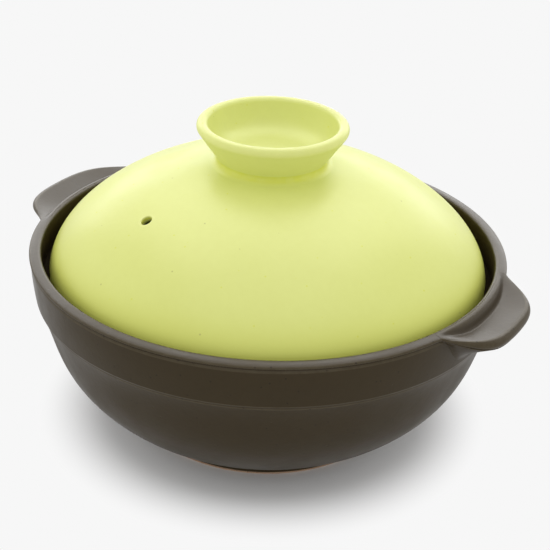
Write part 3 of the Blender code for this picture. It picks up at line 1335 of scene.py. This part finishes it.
@dataclass
class Lug:
    """A lug handle: the lip flows out into a dished shelf with a rounded edge over its root.

    Attributes:
        bowl: The bowl that it grows from.
        side: Which side it stands on.
        turn: How far it was set off its side's bearing.
        reach: How far it stands out past the rim.
        shelf: The part of its reach that runs on to its ends.
        spread: Half of the angle that it fills.
        squareness: How square its plan is.
        end: Angle at which it has become the lip again.
        bluntness: How suddenly its ends begin.
        burial: How far inside the collar its ends are sunk.
        edge: Radius of its rounded edge.
        edge_turn: Where that rounding starts and ends, in degrees.
        drop: Depth of its middle under the rim, at the wall.
        slope: How steeply it rises outwards.
        trough: How far its top is dished.
        valley: How far outside the rim's edge the shelf starts.
        shelf_steps: Number of steps across the shelf.
        fall: How gently its top leaves the rim and reaches the shelf.
        press_margin: How far under its skin the lip is pressed.
        press_onset: How soon, from its ends on, that margin is full.
        crease: Depth of the crease under its edge.
        crease_curve: How the crease turns back under the edge, in its depths.
        crease_lap: How far the root starts under the crease.
        root_share: How far down the collar its root reaches towards its ends.
        root_onset: The share of its angle over which that depth grows from its ends on.
        root_top: How far under the lip the root is at its ends.
        root_margin: Height of its root's lower border over the step line.
        root_inward: How far in the root turns at its start, at its middle and less at its ends.
        root_down: How far down it heads there, at its middle and more at its ends.
        root_low: How high it meets the wall, at its middle and less at its ends.
        root_full: How much fuller it is there at its ends.
        root_lap: How far it lies over the wall, and its foot inside.
        buried: How far inside the collar its hidden back lies.
        buried_drop: How far under the lip the collar is measured for it.
        buried_rise: How far over the root's foot it ends.
        skin: How far it lies over the lip at its ends.
        stations: Sections along it.
    """

    bowl: Bowl
    side: Side
    turn: float = 0.0
    reach: float = 0.01755
    shelf: float = 0.0026
    spread: float = math.radians(15.0)
    squareness: float = 4.3
    end: float = math.radians(18.6)
    bluntness: int = 7
    burial: float = 0.0005
    edge: float = 0.0031
    edge_turn: Point = (104, -50)
    drop: float = 0.0085
    slope: float = 0.115
    trough: float = 0.0001
    valley: float = 0.0016
    shelf_steps: int = 8
    fall: Point = (0.0048, 0.0024)
    press_margin: float = 0.00025
    press_onset: float = 6.0
    crease: float = 0.0009
    crease_curve: tuple[Point, ...] = ((1.3, 0.1), (1.3, 0.5), (0.5, 1.0))
    crease_lap: float = 0.00002
    root_share: float = 0.50
    root_onset: float = 0.45
    root_top: float = 0.0004
    root_margin: float = 0.0015
    root_inward: Point = (0.62, 0.40)
    root_down: Point = (0.40, 0.10)
    root_low: Point = (0.28, 0.08)
    root_full: float = 0.15
    root_lap: float = 0.0001
    buried: float = 0.0030
    buried_drop: float = 0.0010
    buried_rise: float = 0.0004
    skin: float = 0.00003
    stations: int = 120

    def growth(self, angle: float) -> float:
        """How much of the lug's middle there is at an angle from its own axis."""
        rest = math.exp(-((self.end / self.spread) ** self.squareness))
        return (math.exp(-((abs(angle) / self.spread) ** self.squareness)) - rest) / (1.0 - rest)

    def taper(self, angle: float) -> float:
        """How much of the lug's ends there is at an angle from its own axis."""
        return math.sqrt(max(1.0 - (abs(angle) / self.end) ** self.bluntness, 0.0))

    def share(self, angle: float) -> float:
        """How far the lip has become the lug.

        Args:
            angle: The bearing from the lug's own axis, in radians.

        Returns:
            The share, from 0 at its ends to 1.
        """
        base = self.bowl.lip_overhang + self.burial
        middle = (self.reach + base - self.shelf) * self.growth(angle)
        tip = middle + self.shelf * self.taper(angle) - base
        return min(max(tip / self.reach, 0.0), 1.0)

    def top(self, angle: float) -> list[Point]:
        """The upper skin at an angle, from the rim over the shelf and round its edge.

        Args:
            angle: The bearing from the lug's own axis, in radians.

        Returns:
            The (radius, height) points.
        """
        bowl, share, lip = self.bowl, self.share(angle), self.bowl.lip(self.skin)
        start = (bowl.rim_radius - bowl.lip_crest, bowl.height + self.skin)
        tip = bowl.rim_radius + self.reach - self.edge
        middle = bowl.height - self.drop
        centre = (tip, middle + self.slope * (tip - bowl.collar_radius))
        rounding = arc(centre, self.edge, *self.edge_turn, steps=14)
        crest = rounding[0]
        inner = bowl.rim_radius + self.valley
        landing = (inner, crest[1] - self.slope * (crest[0] - inner))
        leaves = (start[0] + self.fall[0], start[1])
        arrives = (landing[0] - self.fall[1], landing[1] - self.fall[1] * self.slope)
        full = bezier(start, leaves, arrives, landing, steps=14)
        for step in range(1, self.shelf_steps):
            out = step / self.shelf_steps
            radius, height = part_way(landing, crest, out)
            full.append((radius, height - self.trough * math.sin(math.pi * out)))
        over = bowl.lip_steps + 1
        slim = even(lip[:over], len(full)) + even(lip[over:-2], len(rounding))
        return [part_way(near, far, share) for near, far in zip(slim, full + rounding)]

    def press(self, place: Vector) -> float:
        """The height of a point of the rim once it is pressed to lie under the lug's skin.

        Args:
            place: The point.

        Returns:
            Its new height, or its own where no lug lies over it.
        """
        bearing = math.atan2(place.y, place.x)
        angle = math.remainder(bearing - self.side.value - self.turn, 2.0 * math.pi)
        radius = math.hypot(place.x, place.y)
        if abs(angle) > self.end or radius < self.bowl.rim_radius - self.bowl.lip_crest:
            return place.z
        margin = self.press_margin * min(self.share(angle) * self.press_onset, 1.0)
        return min(place.z, height_at(self.top(angle), radius) - margin)

    def section(self, angle: float) -> list[Point]:
        """The closed outline of the lug where an upright plane cuts it.

        Args:
            angle: The plane's bearing from the lug's own axis, in radians.

        Returns:
            The (radius, height) points, from the rim over the top and the edge to the wall below.
        """
        bowl, wall, top = self.bowl, self.bowl.outside(), self.top(angle)
        share = self.share(angle)
        fold, leave = self.crease * share, top[-1]
        bends = [(leave[0] - fold * x, leave[1] - fold * z) for x, z in self.crease_curve]
        bends[-1] = (bends[-1][0], bends[-1][1] - self.crease_lap)
        groove = bezier(leave, *bends, steps=6)

        inwards = smooth(1.0 - abs(angle) / self.end, 0.0, self.root_onset)
        depth = self.root_share * inwards + (1.0 - self.root_share) * self.growth(angle)
        reach = bowl.lip_bottom - bowl.step_height - self.root_margin
        bottom = bowl.lip_bottom - self.root_top - reach * depth
        foot = (radius_at(wall, bottom) - self.root_lap, bottom)
        start, ends = groove[-1], 1.0 - share
        inset = start[0] - radius_at(wall, start[1])
        inward = inset * (self.root_inward[0] - self.root_inward[1] * ends)
        down = (start[1] - bottom) * (self.root_down[0] + self.root_down[1] * ends)
        low = bottom + math.dist(start, foot) * (self.root_low[0] - self.root_low[1] * ends)
        arrives = (radius_at(wall, low) + self.root_lap + inset * self.root_full * ends, low)
        root = bezier(start, (start[0] - inward, start[1] - down), arrives, foot, steps=18)

        back = radius_at(wall, bowl.lip_bottom - self.buried_drop) - self.buried
        hidden = [(back, bottom + self.buried_rise), (back, bowl.lip_bottom)]
        crest = (bowl.rim_radius - bowl.lip_crest, bowl.lip_bottom)
        return top + groove[1:] + root[1:] + hidden + [crest]

    def build(self, finishes: Finishes) -> bpy.types.Object:
        """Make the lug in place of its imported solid.

        Args:
            finishes: All the finishes, by short name.

        Returns:
            The lug.
        """
        skin = ClayMesh(f"{self.side.name.lower()}_lug")
        rings = []
        for station in range(self.stations + 1):
            share = 2.0 * station / self.stations - 1.0
            angle = self.end * math.sin(share * math.pi / 2)
            facing = angle + self.side.value + self.turn
            rings.append([skin.point(polar(r, facing, h)) for r, h in self.section(angle)])
        for near, far in zip(rings, rings[1:]):
            skin.strip(near, far)
        skin.face(tuple(rings[0][::-1]))
        skin.face(tuple(rings[-1]))
        return skin.make([finishes["brown"]])


@dataclass
class Lid:
    """The domed lid with its steam hole.

    Attributes:
        bowl: The bowl that it sits in.
        gap: Gap to the rim.
        clearance: Gap to the gallery.
        rise: Height of the crown over the lid's seat.
        crown_pull: How flat the crown is.
        edge_pull: How upright the dome is at its edge.
        edge_height: Height of the upright edge.
        rounding: Radius of its lower edge.
        land: Width of the seat.
        land_inset: How far outside the inner edge's rounding the seat's middle point is.
        glaze_lines: Where on its outer and its inner lower edge the glaze ends, in degrees.
        hollow_inset: How far inside the seat the hollow begins.
        thickness: Thickness of the dome.
        hole_radius: Radius of the steam hole.
        hole_flare: Radius of the hole's rounded outer edge.
        hole_relief: Radius of its rounded inner edge.
        hole_distance: Distance of the hole from the middle.
        hole_bearing: Its bearing, in radians.
        hole_reach: How far to each side the dome's slope is measured there.
        columns: Stations round the turn.
        block: Half-width of the patch round the hole, in columns and rows.
        patch_steps: Rows between the patch's border and the hole.
        edge_steps: Rows over each rounded edge of the hole.
    """

    bowl: Bowl
    gap: float = 0.0037
    clearance: float = 0.0003
    rise: float = 0.0645
    crown_pull: float = 0.0563
    edge_pull: float = 0.0293
    edge_height: float = 0.0027
    rounding: float = 0.0018
    land: float = 0.0075
    land_inset: float = 0.0020
    glaze_lines: Point = (-55.0, -135.0)
    hollow_inset: float = 0.0006
    thickness: float = 0.0050
    hole_radius: float = 0.0028
    hole_flare: float = 0.0006
    hole_relief: float = 0.0030
    hole_distance: float = 0.0745
    hole_bearing: float = math.radians(-113.5)
    hole_reach: float = 0.0030
    columns: int = 320
    block: tuple[int, int] = (5, 5)
    patch_steps: int = 6
    edge_steps: int = 8

    @property
    def radius(self) -> float:
        """Radius of the lid's edge."""
        return self.bowl.inner_radius - self.gap

    @property
    def seat(self) -> float:
        """Height of the lid's lower face."""
        return self.bowl.seat_height + self.clearance

    @property
    def crown(self) -> float:
        """Height of the crown."""
        return self.seat + self.rise

    def dome(self) -> list[Point]:
        """Outside of the lid, from the middle of its crown to its upright edge.

        Returns:
            The (radius, height) points.
        """
        edge = (self.radius, self.seat + self.edge_height)
        leaves = (self.crown_pull, self.crown)
        arrives = (self.radius, edge[1] + self.edge_pull)
        return bezier((0.0, self.crown), leaves, arrives, edge, steps=72)

    def hollow(self) -> list[Point]:
        """Inside of the dome, from the middle out.

        Returns:
            As many (radius, height) points as the outside has.
        """
        under = offset(self.dome(), self.thickness)
        under[0] = (0.0, self.crown - self.thickness)
        return under

    def outline(self) -> Outline:
        """The outline from the crown down the outside, across the land and up inside.

        Returns:
            The outline.
        """
        turned = Outline()
        turned.run(self.dome())
        low = (self.radius - self.rounding, self.seat + self.rounding)
        outer_line, inner_line = self.glaze_lines
        turned.run(arc(low, self.rounding, 0, outer_line, steps=7))
        turned.run(arc(low, self.rounding, outer_line, -90, steps=3), Coat.BARE)
        land = self.radius - self.land
        turned.run([(land + self.rounding + self.land_inset, self.seat)], Coat.BARE)
        inner = (land + self.rounding, self.seat + self.rounding)
        turned.run(arc(inner, self.rounding, -90, inner_line, steps=4), Coat.BARE)
        turned.run(arc(inner, self.rounding, inner_line, -180, steps=4))
        turned.run([p for p in self.hollow() if p[0] < land - self.hollow_inset][::-1])
        return turned

    def build(self, finishes: Finishes) -> bpy.types.Object:
        """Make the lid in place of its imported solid.

        Args:
            finishes: All the finishes, by short name.

        Returns:
            The lid.
        """
        skin = ClayMesh("domed_lid")
        turning = Turning(skin, self.outline(), self.columns, self.hole_bearing)
        dome, total = self.dome(), len(turning.outline.points)
        across, along = self.block
        middle = min(range(len(dome)), key=lambda row: abs(dome[row][0] - self.hole_distance))
        outer = (middle - along, middle + along)
        inner = (total - 1 - outer[1], total - 1 - outer[0])

        def in_block(row: int, column: int) -> bool:
            """Whether a face lies in the patch round the hole."""
            near = column < across or column >= self.columns - across
            return near and (outer[0] <= row < outer[1] or inner[0] <= row < inner[1])

        turning.spin(in_block)
        self.pierce(skin, [self.border(turning.rows, span) for span in (outer, inner[::-1])])
        return skin.make([finishes["lime"], finishes["clay"]])

    def border(self, rows: list[list[int]], span: tuple[int, int]) -> list[int]:
        """The points round the open patch, in order.

        Args:
            rows: The skin's points, by row.
            span: Its first and last row, the uphill one first.

        Returns:
            The point numbers, starting at one uphill corner.
        """
        across, step = self.block[0], 1 if span[1] > span[0] else -1
        columns = [column % self.columns for column in range(-across, across + 1)]
        ring = [rows[span[0]][column] for column in columns]
        ring += [rows[row][columns[-1]] for row in range(span[0] + step, span[1] + step, step)]
        ring += [rows[span[1]][column] for column in columns[-2::-1]]
        ring += [rows[row][columns[0]] for row in range(span[1] - step, span[0], -step)]
        return ring

    def pierce(self, skin: ClayMesh, borders: list[list[int]]) -> None:
        """Close the patch round the steam hole and line the hole, its edges rounded.

        Args:
            skin: The lid's mesh.
            borders: The borders of the outer and the inner patch.
        """
        dome, hollow = self.dome(), self.hollow()
        out = polar(1.0, self.hole_bearing)
        uphill = height_at(dome, self.hole_distance - self.hole_reach)
        downhill = height_at(dome, self.hole_distance + self.hole_reach)
        lean = math.atan2(uphill - downhill, 2.0 * self.hole_reach)
        slope = (out * math.cos(lean) - Vector((0.0, 0.0, math.sin(lean)))).normalized()
        side = Vector((-out.y, out.x, 0.0))
        normal = slope.cross(side).normalized()
        mouth = drop_to(dome, out * self.hole_distance)
        throat = mouth - normal * self.thickness

        loops = []
        curves, middles = (dome, hollow), (mouth, throat)
        flares = (self.hole_flare, -self.hole_relief)
        for border, curve, middle, flare in zip(borders, curves, middles, flares):
            aways = [skin.points[number] - middle for number in border]
            turns = [math.atan2(away.dot(side), away.dot(slope)) for away in aways]
            rays = [slope * math.cos(turn) + side * math.sin(turn) for turn in turns]
            goals = [middle + ray * (self.hole_radius + abs(flare)) for ray in rays]
            ring = border
            for step in range(1, self.patch_steps + 1):
                row = []
                for number, goal in zip(border, goals):
                    spot = skin.points[number].lerp(goal, step / self.patch_steps)
                    row.append(skin.point(drop_to(curve, spot)))
                skin.strip(ring, row)
                ring = row
            starts = [skin.points[number] for number in ring]
            for step in range(1, self.edge_steps + 1):
                curl = math.radians(90.0 * step / self.edge_steps)
                inward, down = abs(flare) * math.sin(curl), flare * (1.0 - math.cos(curl))
                pairs = zip(starts, rays)
                row = [skin.point(start - ray * inward - normal * down) for start, ray in pairs]
                skin.strip(ring, row)
                ring = row
            loops.append(ring)
        ring = loops[0]
        for step in range(1, self.patch_steps):
            row = []
            for start, stop in zip(*loops):
                spot = skin.points[start].lerp(skin.points[stop], step / self.patch_steps)
                row.append(skin.point(spot))
            skin.strip(ring, row)
            ring = row
        skin.strip(ring, loops[1])


@dataclass
class Knob:
    """The ring knob: a flared neck under a rounded lip, with a shallow dish in its top.

    Attributes:
        lid: The lid that it stands on.
        lip_radius: Outer radius of its lip.
        height: Height over the crown.
        lip_rounding: Radius of the lip's edge.
        lip_width: Width of the lip.
        brink: Where on the lip's inner edge the dish begins, in degrees.
        dish_depth: Depth of the dish.
        dish_floor: Radius of the flat middle of its floor.
        floor_pull: How far inside the lip the floor's curve heads.
        wall_pull: How the dish's wall comes up to the lip.
        under: Where the lip's outer edge ends underneath, in degrees.
        neck_radius: Radius of its neck.
        neck_height: Height of the neck's narrowest line over the dome.
        neck_steps: Number of steps down it.
        skirt: How far its foot flows out over the dome.
        skirt_pull: How gently it does.
        slope_reach: How far to each side the dome's slope is measured at its foot.
        sink: How far its foot lies inside the dome.
        buried: How far its hidden bottom lies inside.
        bottom_inset: How far inside the foot's edge that bottom begins.
        bottom: Radii of the points across that bottom.
        columns: Stations round the turn.
    """

    lid: Lid
    lip_radius: float = 0.0388
    height: float = 0.0192
    lip_rounding: float = 0.0027
    lip_width: float = 0.0058
    brink: float = 163.0
    dish_depth: float = 0.0158
    dish_floor: float = 0.0150
    floor_pull: float = 0.0066
    wall_pull: Point = (0.0026, 0.0085)
    under: float = -40.0
    neck_radius: float = 0.0290
    neck_height: float = 0.0042
    neck_steps: int = 12
    skirt: float = 0.0034
    skirt_pull: float = 0.0026
    slope_reach: float = 0.0010
    sink: float = 0.00006
    buried: float = 0.0012
    bottom_inset: float = 0.0010
    bottom: tuple[float, ...] = (0.024, 0.016, 0.008, 0.0)
    columns: int = 224

    def outline(self) -> Outline:
        """The outline from the middle of the dish over the lip and down the neck to the dome.

        Returns:
            The outline.
        """
        top = self.lid.crown + self.height
        dish = top - self.dish_depth
        lip = (self.lip_radius - self.lip_rounding, top - self.lip_rounding)
        inner_lip = self.lip_radius - self.lip_width
        inner_middle = (inner_lip + self.lip_rounding, lip[1])
        inner = arc(inner_middle, self.lip_rounding, self.brink, 90, steps=8)
        brink = inner.pop(0)
        turned = Outline()
        turned.run([(self.dish_floor * share, dish) for share in (0.0, 0.25, 0.5, 0.75)])
        arrives = (brink[0] - self.wall_pull[0], brink[1] - self.wall_pull[1])
        leaves = (inner_lip - self.floor_pull, dish)
        turned.run(bezier((self.dish_floor, dish), leaves, arrives, brink, steps=28))
        turned.run(inner)
        turned.run(arc(lip, self.lip_rounding, 90, self.under, steps=12))

        dome, spread, pull = self.lid.dome(), self.neck_radius + self.skirt, self.skirt_pull
        landing = (spread, height_at(dome, spread) - self.sink)
        uphill = height_at(dome, spread - self.slope_reach)
        downhill = height_at(dome, spread + self.slope_reach)
        slope = (downhill - uphill) / (2.0 * self.slope_reach)
        flare = turned.points[-1]
        neck = (self.neck_radius, height_at(dome, self.neck_radius) + self.neck_height)
        for step in range(1, self.neck_steps + 1):
            turned.run([part_way(flare, neck, step / self.neck_steps)])
        lean = (neck[0] - flare[0]) / (neck[1] - flare[1])
        leaves = (neck[0] - lean * pull, neck[1] - pull)
        arrives = (landing[0] - pull, landing[1] - slope * pull)
        turned.run(bezier(neck, leaves, arrives, landing, steps=12))
        hidden = (spread - self.bottom_inset, *self.bottom)
        turned.run([(radius, height_at(dome, radius) - self.buried) for radius in hidden])
        return turned

    def build(self, finishes: Finishes) -> bpy.types.Object:
        """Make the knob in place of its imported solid.

        Args:
            finishes: All the finishes, by short name.

        Returns:
            The knob.
        """
        skin = ClayMesh("ring_knob")
        Turning(skin, self.outline(), self.columns).spin()
        return skin.make([finishes["lime"]])


# The studio


@dataclass(frozen=True)
class Panel:
    """A soft light panel that faces the pot.

    Attributes:
        name: Its name.
        bearing: Its direction from the pot, in degrees from +X.
        elevation: Its height over the horizon, in degrees.
        distance: Its distance from the pot.
        size: Its width and height.
        glow: How bright its face is.
        sheen_only: Whether it shows only in the gloss, as a reflector card does.
        aim: Height over the table that it faces.
    """

    name: str
    bearing: float
    elevation: float
    distance: float
    size: Point
    glow: float
    sheen_only: bool = False
    aim: float = 0.08

    def hang(self) -> None:
        """Put the panel into the scene."""
        lamp = bpy.data.lights.new(self.name, "AREA")
        lamp.shape = "RECTANGLE"
        lamp.size, lamp.size_y = self.size
        lamp.energy = self.glow * math.pi * self.size[0] * self.size[1]
        rise = math.radians(self.elevation)
        out = polar(math.cos(rise), math.radians(self.bearing), math.sin(rise))
        holder = stand(self.name, lamp)
        holder.location = Vector((0.0, 0.0, self.aim)) + out * self.distance
        holder.rotation_mode = "QUATERNION"
        holder.rotation_quaternion = out.to_track_quat("Z", "Y")
        holder.visible_camera = False
        holder.visible_diffuse = not self.sheen_only


@dataclass
class Studio:
    """The pale floor, the soft lights and the camera.

    Attributes:
        camera_place: Where the camera stands.
        azimuth: Where it looks, in degrees; 0 looks along +Y.
        elevation: How far it looks down.
        roll: How far it is rolled.
        lens: Its focal length in millimetres.
        sensor: Width of its sensor in millimetres.
        nearest: How near it sees.
        paper: The floor's colour.
        surround: How bright the room is.
        floor_reach: How far the floor reaches to each side.
        fade: Between which distances from the middle the floor's shade fades out.
        panels: The lights.
    """

    camera_place: tuple[float, float, float] = (0.311323, -0.530638, 0.407051)
    azimuth: float = 30.0323
    elevation: float = 28.0042
    roll: float = 2.3146
    lens: float = 85.0323
    sensor: float = 36.0
    nearest: float = 0.01
    paper: float = 0.930
    surround: float = 0.775
    floor_reach: float = 4.0
    fade: Point = (0.0855, 0.1255)
    panels: tuple[Panel, ...] = (
        Panel("top_panel", 120.0, 86.0, 1.5, (2.0, 2.0), 0.28),
        Panel("left_panel", 205.0, 22.0, 1.4, (1.4, 0.9), 0.88),
        Panel("right_panel", 35.0, 22.0, 1.4, (1.4, 0.9), 0.70),
        Panel("top_card", 120.0, 86.0, 1.5, (2.0, 2.0), 2.8, sheen_only=True),
        Panel("sloping_card", 120.0, 62.0, 1.5, (2.0, 1.2), 3.4, sheen_only=True),
        Panel("back_card", 120.0, 34.0, 1.5, (2.8, 1.3), 2.4, sheen_only=True),
        Panel("low_card", 120.0, 12.0, 1.5, (2.8, 0.6), 1.4, sheen_only=True),
        Panel("front_card", -60.0, 26.0, 2.2, (3.2, 1.6), 0.6, sheen_only=True),
    )

    @property
    def white(self) -> Colour:
        """The colour of the paper and of what is seen past it."""
        return (self.paper, self.paper, self.paper)

    def set_camera(self) -> None:
        """Stand the camera where the photograph was taken."""
        turn, dip = math.radians(self.azimuth), math.radians(self.elevation)
        ahead = polar(math.cos(dip), turn + math.pi / 2, -math.sin(dip))
        rolled = Quaternion((0.0, 0.0, 1.0), math.radians(self.roll))
        facing = ahead.to_track_quat("-Z", "Y") @ rolled
        data = bpy.data.cameras.new("camera")
        data.sensor_width = self.sensor
        data.lens = self.lens
        data.clip_start = self.nearest
        camera = stand("camera", data)
        camera.matrix_world = Matrix.Translation(self.camera_place) @ facing.to_matrix().to_4x4()
        bpy.context.scene.camera = camera

    def set_room(self) -> None:
        """Make the room: its soft light, and white where the camera sees past the floor."""
        world = bpy.data.worlds.new("room")
        bpy.context.scene.world = world
        world.use_nodes = True
        wiring, nodes = Wiring(world.node_tree), world.node_tree.nodes
        light = nodes["Background"]
        wiring.feed(light, {"Strength": self.surround, "Color": (1.0, 1.0, 1.0)})
        white = wiring.put("ShaderNodeBackground", {"Color": self.white})
        seen = wiring.put("ShaderNodeLightPath").outputs["Is Camera Ray"]
        shown = wiring.mix_light(seen, light.outputs[0], white.outputs[0])
        wiring.feed(nodes["World Output"], {"Surface": shown})

    def set_floor(self) -> None:
        """Lay the pale floor, which keeps the pot's soft shadow and fades to plain paper."""
        mesh = bpy.data.meshes.new("studio_floor")
        corners = ((-1.0, -1.0), (1.0, -1.0), (1.0, 1.0), (-1.0, 1.0))
        reach = self.floor_reach
        mesh.from_pydata([(x * reach, y * reach, 0.0) for x, y in corners], [], [(0, 1, 2, 3)])
        paper = bpy.data.materials.new("studio_paper")
        paper.use_nodes = True
        wiring, nodes = Wiring(paper.node_tree), paper.node_tree.nodes
        nodes.remove(nodes["Principled BSDF"])
        matt = wiring.put("ShaderNodeBsdfDiffuse", {"Color": self.white})
        plain = wiring.put("ShaderNodeEmission", {"Color": self.white})
        away = wiring.put("ShaderNodeVectorMath", {0: wiring.coordinates()}, operation="LENGTH")
        seen = wiring.put("ShaderNodeLightPath").outputs["Is Camera Ray"]
        share = wiring.maths("MULTIPLY", wiring.ramp(away.outputs["Value"], self.fade), seen)
        shown = wiring.mix_light(share, matt.outputs[0], plain.outputs[0])
        wiring.feed(nodes["Material Output"], {"Surface": shown})
        mesh.materials.append(paper)
        stand("studio_floor", mesh)

    def build(self) -> None:
        """Set up the camera, the room, the floor and the lights."""
        self.set_camera()
        self.set_room()
        self.set_floor()
        for panel in self.panels:
            panel.hang()
        bpy.context.scene.view_settings.view_transform = "Standard"


# Putting it together


def place(piece: bpy.types.Object, node: str, body: str, slot: str) -> None:
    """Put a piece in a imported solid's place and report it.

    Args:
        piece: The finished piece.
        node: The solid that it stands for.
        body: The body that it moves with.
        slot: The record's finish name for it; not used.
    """
    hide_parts(node)
    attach(piece, body)
    log.info("%s: %d faces, for %s on %s", piece.name, len(piece.data.polygons), node, body)


def main() -> None:
    """Build the pot and its studio."""
    logging.basicConfig(level=logging.INFO, format="%(name)s %(message)s")
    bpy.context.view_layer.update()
    finishes = Kiln().fire()

    bowl = Bowl()
    right = Lug(bowl, Side.RIGHT)
    left = Lug(
        bowl,
        Side.LEFT,
        turn=math.radians(0.9),
        spread=math.radians(16.6),
        end=math.radians(21.8),
        slope=0.27,
    )
    place(bowl.build(finishes, [right, left]), "pot_bowl", "pot", "brown_glaze")
    place(FootRing(bowl).build(finishes), "foot_ring", "pot", "bare_clay")
    place(right.build(finishes), "right_handle", "pot", "handle_glaze")
    place(left.build(finishes), "left_handle", "pot", "handle_glaze")
    lid = Lid(bowl)
    place(lid.build(finishes), "lid_dome", "lid", "lime_glaze")
    place(Knob(lid).build(finishes), "lid_knob", "lid", "knob_glaze")

    Studio().build()


if __name__ == "__main__":
    main()
